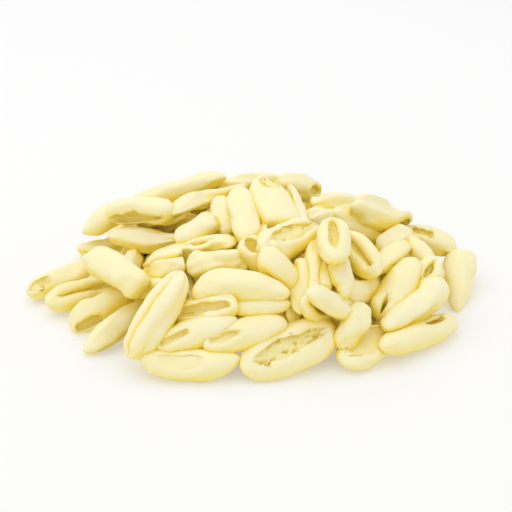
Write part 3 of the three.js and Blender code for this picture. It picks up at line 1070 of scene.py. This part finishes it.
def near_pairs(middles, halves, rank):
    """Pairs of beads whose cavatelli may touch, the nearer one to the camera first where that is known."""
    gaps = np.linalg.norm(middles[:, None] - middles[None], axis=2)
    near = gaps < halves[:, None] + halves[None] + 2 * PIECE_RADIUS
    first_piece, second_piece = np.nonzero(np.triu(near, 1))
    front_piece = np.where(rank[first_piece] > rank[second_piece], first_piece, second_piece)
    back_piece = first_piece + second_piece - front_piece
    ordered = rank[front_piece] != rank[back_piece]
    one_bead, other_bead = np.divmod(np.arange(BEADS * BEADS), BEADS)
    front = (front_piece[:, None] * BEADS + one_bead).ravel()
    back = (back_piece[:, None] * BEADS + other_bead).ravel()
    return front, back, np.repeat(ordered, BEADS * BEADS)


def contact_push(beads, radius, front, back, ordered):
    """How far to push the back bead of each pair away from the front one, and that the other way."""
    gap = beads[back] - beads[front]
    distance = np.linalg.norm(gap, axis=1) + NEVER_ZERO
    reach = radius[front] + radius[back]
    push = np.maximum(reach - distance, 0)[:, None] * gap / distance[:, None]

    view = (beads[front] + beads[back]) / 2 - CAMERA_PLACE
    view /= np.linalg.norm(view, axis=1)[:, None]
    deep = (gap * view).sum(1)
    aside = np.sqrt(np.maximum(distance ** 2 - deep ** 2, 0))
    needed = np.sqrt(np.maximum(reach ** 2 - aside ** 2, 0))
    too_near = ordered & (aside < reach) & (deep < 0)
    along_view = np.maximum(needed - deep, 0)[:, None] * view
    return np.where(too_near[:, None], along_view, push) * 0.5


def bead_pushes(beads, radius, pairs):
    """The mean push on every bead by its neighbours, the ground and the core."""
    front, back, ordered = pairs
    push = contact_push(beads, radius, front, back, ordered)
    touching = np.abs(push).sum(1) > 0
    pushes = np.zeros_like(beads)
    touches = np.zeros(len(beads))
    for index, sign in ((front, -1.0), (back, 1.0)):
        np.add.at(pushes, index[touching], sign * push[touching])
        np.add.at(touches, index[touching], 1)
    floor_lift = radius - beads[:, 2]
    lift = np.maximum(np.maximum(floor_lift, core_height(beads) + radius - beads[:, 2]), 0)
    pushes[:, 2] += lift
    touches += lift > 0
    return pushes / np.maximum(touches, 1)[:, None], touches > 0


# %% Settling
SINK = 0.10 * MM
SINKING_STEPS = 240
STILL_STEPS = 100
SHIFT_EASE = 0.9
TURN_EASE = 1.2
SIGHT_PULL = 0.5  # of the way back to the sight lines, in each step
DEPTH_PULL = 0.012  # of the way back along them
GROUND_PULL = 0.3  # the same for a cavatello that lies on the ground
TILT_PULL = 0.15
PLACE_PULL = 0.02  # of the way back for a hidden one
STUB = 20 * MM
PAIRS_EVERY = 20  # steps


class SightLines:
    """What keeps the visible cavatelli where the photograph shows them."""

    def __init__(self, seen_part):
        self.middles = np.array([one["middle"] for one in seen_part])
        self.axes = np.array([one["along"] for one in seen_part])
        self.views = np.array([one["sight"] for one in seen_part])
        self.planes = np.array([one["sight_plane"] for one in seen_part])
        self.widths = np.array([one["sight_width"] for one in seen_part])
        grounded = np.array([one["grounded"] for one in seen_part])
        self.depth_pull = np.where(grounded, GROUND_PULL, DEPTH_PULL)[:, None]

    def pull(self, middles, axes):
        """Moves and turns the visible cavatelli part of the way back."""
        offsets = middles - CAMERA_PLACE
        depths = (offsets * self.views).sum(1)[:, None]
        middles -= SIGHT_PULL * (offsets - depths * self.views)
        moved_deep = ((middles - self.middles) * self.views).sum(1)[:, None]
        middles -= self.depth_pull * moved_deep * self.views
        axes -= SIGHT_PULL * (axes * self.planes).sum(1)[:, None] * self.planes
        tilted = ((axes - self.axes) * self.views).sum(1)[:, None]
        axes -= TILT_PULL * tilted * self.views

    def half_lengths(self, axes):
        """Half of each length, from how long a cavatello looks and how far it points along the view."""
        flat = np.sqrt(1 - (axes * self.views).sum(1) ** 2)
        return np.clip(self.widths / flat, STUB, LONGEST) / 2


def settle(heap, seen_count):
    """Lets the cavatelli sink onto each other and push each other apart. The visible ones come first."""
    middles = np.array([one["middle"] for one in heap])
    axes = np.array([one["along"] for one in heap])
    halves = np.array([one["length"] for one in heap]) / 2
    radius = bead_radii(heap).ravel()
    rank = np.array([index if index < seen_count else -1 for index in range(len(heap))])
    first_middles = middles.copy()
    shown = slice(0, seen_count)
    sight_lines = SightLines(heap[shown])

    for step in range(SINKING_STEPS + STILL_STEPS):
        if step % PAIRS_EVERY == 0:
            pairs = near_pairs(middles, halves, rank)
        if step < SINKING_STEPS:
            middles[:, 2] -= SINK
        beads = placed_beads(middles, axes, halves).reshape(-1, 3)
        pushes, touched = bead_pushes(beads, radius, pairs)
        pushes = pushes.reshape(-1, BEADS, 3)
        touched_beads = np.maximum(touched.reshape(-1, BEADS).sum(1), 1)
        middles += pushes.sum(1) / touched_beads[:, None] * SHIFT_EASE
        levers = (BEAD_PLACES * halves[:, None])[..., None]
        axes += (levers * pushes).sum(1) / (levers ** 2).sum(1) * TURN_EASE

        sight_lines.pull(middles[shown], axes[shown])
        middles[seen_count:, :2] += PLACE_PULL * (first_middles - middles)[seen_count:, :2]
        axes /= np.linalg.norm(axes, axis=1)[:, None]
        halves[shown] = sight_lines.half_lengths(axes[shown])

    for one, middle, axis, half in zip(heap, middles, axes, halves):
        one["middle"] = middle
        one["along"] = axis
        one["length"] = 2 * half
    moved = np.linalg.norm(middles - first_middles, axis=1) / MM
    print(f"settled: moved {moved.mean():.1f} mm on average, {moved.max():.1f} mm at most")
    front, back, _ = pairs
    overlap = (radius[front] + radius[back] - np.linalg.norm(beads[front] - beads[back], axis=1)) / MM
    print(f"overlaps: {overlap[overlap > 0].mean():.2f} mm on average, {overlap.max():.1f} mm at most")


# %% The whole heap
hidden_heap = []
for layer in LAYERS:
    fill_bed(hidden_heap, layer * MM)
    print(f"{len(hidden_heap)} hidden cavatelli down to {-layer} mm below the bed")
settle(seen_heap + hidden_heap, len(seen_heap))
hidden_heap = out_of_sight(hidden_heap)
print(f"{len(hidden_heap)} hidden cavatelli are kept")
heap = seen_heap + hidden_heap
for one in heap:
    facing = np.array(one["facing"])
    one["mouth"] = unit(facing - (facing @ one["along"]) * one["along"])


# %% [markdown]
# ## The cavatelli as meshes
#
# Each sort becomes one piece, however many cavatelli it has. A fine lattice is worth it, since the lips,
# the tears and the folds are all real relief, but a sort with many cavatelli gets a coarser one, so that
# no piece grows too heavy.

# %% The cavatelli of each sort
PIECE_NAMES = {
    "boat": "boat_cavatelli",
    "slit": "slit_cavatelli",
    "roll": "rolled_cavatelli",
    "shut": "shut_cavatelli",
}
MOST_TRIANGLES = 195_000
RINGS_PER_SIDE = 1.3
FINEST_SIDES = 48

cavatelli_group = cavatelli_tree()
pieces = []
for sort_number, sort in enumerate(SORTS):
    count = sum(one["sort"] == sort for one in heap)
    affordable = math.sqrt(MOST_TRIANGLES / count / (2 * RINGS_PER_SIDE))
    sides = min(int(affordable), FINEST_SIDES)
    settings = {"Sort": sort_number, "Sides": sides, "Rings": int(sides * RINGS_PER_SIDE), "Dough": dough}
    pieces.append(cavatelli_mesh(PIECE_NAMES[sort], heap, cavatelli_group, settings))
    print(f"{count} cavatelli of the sort {sort}")

# %% [markdown]
# ## The core
#
# A real heap has cavatelli all the way through. The ones that nothing can see would only be a burden,
# so the middle is filled by a low mound of the same dough, lumpy enough to pass for more pasta where a
# gap between two pieces lets the eye in. Its colour is the gold of painted shade all over, as that of
# dough deep in the heap. It is a ball whose lower half is pressed flat on the ground.

# %% The core
CORE_SIDES = 96
CORE_RINGS = 48
CORE_LUMP_SIZE = 14 * MM
CORE_LUMP_HEIGHT = 5.0 * MM
CORE_GROUND_GAP = 0.5 * MM
# painted shade of the whole core
CORE_PAINTED_SHADE = 0.6
CORE_FIT = 0.92  # of the room that the settling leaves for it


# %% The core's tree
def core_tree():
    inlets = {"Half Width": "Float", "Half Depth": "Float", "Height": "Float", "Lump Size": "Float"}
    inlets.update({"Lump Height": "Float", "Sides": "Int", "Rings": "Int", "Dough": "Material"})
    tree, inlet = tree_with_inlets("dough_core", inlets)
    ball_size = {"Segments": inlet.output("Sides"), "Rings": inlet.output("Rings")}
    ball = tree.node("GeometryNodeMeshUVSphere", {}, ball_size)
    place = tree.node("ShaderNodeSeparateXYZ", {}, {"Vector": tree.node("GeometryNodeInputPosition")})
    rise = tree.math("MAXIMUM", place.output("Z"), 0.0)
    across = place.output("X") * inlet.output("Half Width")
    deep = place.output("Y") * inlet.output("Half Depth")
    lumps = tree.noise(combined(tree, across, deep, 0.0), 1 / inlet.output("Lump Size")) - 0.5
    lumps = lumps * inlet.output("Lump Height")
    height = rise * rise * inlet.output("Height") + lumps * rise + CORE_GROUND_GAP
    mound = {"Geometry": ball, "Position": combined(tree, across, deep, height)}
    mound = tree.node("GeometryNodeSetPosition", {}, mound)
    # the core is painted golden, as dough in shade
    mound = stored(tree, mound, "painted_shade", CORE_PAINTED_SHADE)
    tree.node("NodeGroupOutput", {}, {"Mesh": coated(tree, mound, inlet.output("Dough"))})
    return tree.node_tree


# %% The core's mesh
core_sizes = {
    "Half Width": BED_HALF_WIDTH * math.sqrt(CORE_SHARE) * CORE_FIT,
    "Half Depth": BED_HALF_DEPTH * math.sqrt(CORE_SHARE) * CORE_FIT,
    "Height": HEAP_HEIGHT * CORE_SHARE * CORE_FIT,
    "Lump Size": CORE_LUMP_SIZE,
    "Lump Height": CORE_LUMP_HEIGHT,
    "Sides": CORE_SIDES,
    "Rings": CORE_RINGS,
    "Dough": dough,
}
core = finished_piece("dough_core", bpy.data.meshes.new("dough_core"), core_tree(), core_sizes)
pieces.append(core)

# %% [markdown]
# ## The ground and the light
#
# The heap lies on a white table that is lit a little from below, in a bright, soft light from above
# and from the left. So the shadows are short and pale, and warm close to the pasta, where the light
# has bounced off the dough.

# %% The ground and the light
GROUND_REACH = 3.0  # from the middle to each side
WHITE = (1.0, 1.0, 1.0, 1.0)
TABLE_WHITE = (0.60, 0.60, 0.598, 1.0)
TABLE_ROUGHNESS = 0.9
TABLE_GLOW = 0.32
SKY_STRENGTH = 0.88
LAMP_SIZE = 1.0
LAMP_POWER = 2.2
LAMP_PLACE = (-0.20, 0.05, 0.80)

ground_mesh = bpy.data.meshes.new("ground")
corners = [(-GROUND_REACH, -GROUND_REACH, 0), (GROUND_REACH, -GROUND_REACH, 0)]
corners += [(GROUND_REACH, GROUND_REACH, 0), (-GROUND_REACH, GROUND_REACH, 0)]
ground_mesh.from_pydata(corners, [], [(0, 1, 2, 3)])
ground = bpy.data.objects.new("ground", ground_mesh)
scene.collection.objects.link(ground)

table = bpy.data.materials.new("lit_table")
table.use_nodes = True
table.node_tree.nodes.clear()
table_tree = Tree(table.node_tree)
table_sockets = {"Base Color": TABLE_WHITE, "Roughness": TABLE_ROUGHNESS}
table_sockets.update({"Emission Color": WHITE, "Emission Strength": TABLE_GLOW})
table_shader = table_tree.node("ShaderNodeBsdfPrincipled", {}, table_sockets)
table_tree.node("ShaderNodeOutputMaterial", {}, {"Surface": table_shader})
ground.data.materials.append(table)

world = bpy.data.worlds.new("sky")
world.use_nodes = True
world.node_tree.nodes["Background"].inputs["Color"].default_value = WHITE
world.node_tree.nodes["Background"].inputs["Strength"].default_value = SKY_STRENGTH
scene.world = world

lamp = bpy.data.objects.new("lamp", bpy.data.lights.new("lamp", "AREA"))
lamp.data.size = LAMP_SIZE
lamp.data.energy = LAMP_POWER
lamp.location = LAMP_PLACE
lamp.rotation_euler = (-Vector(LAMP_PLACE)).to_track_quat("-Z", "Y").to_euler()
scene.collection.objects.link(lamp)
scene.view_settings.view_transform = "Standard"

# %% Hand over to the frame
for piece in pieces:
    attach(piece, "root")
    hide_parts("cavatelli_heap")
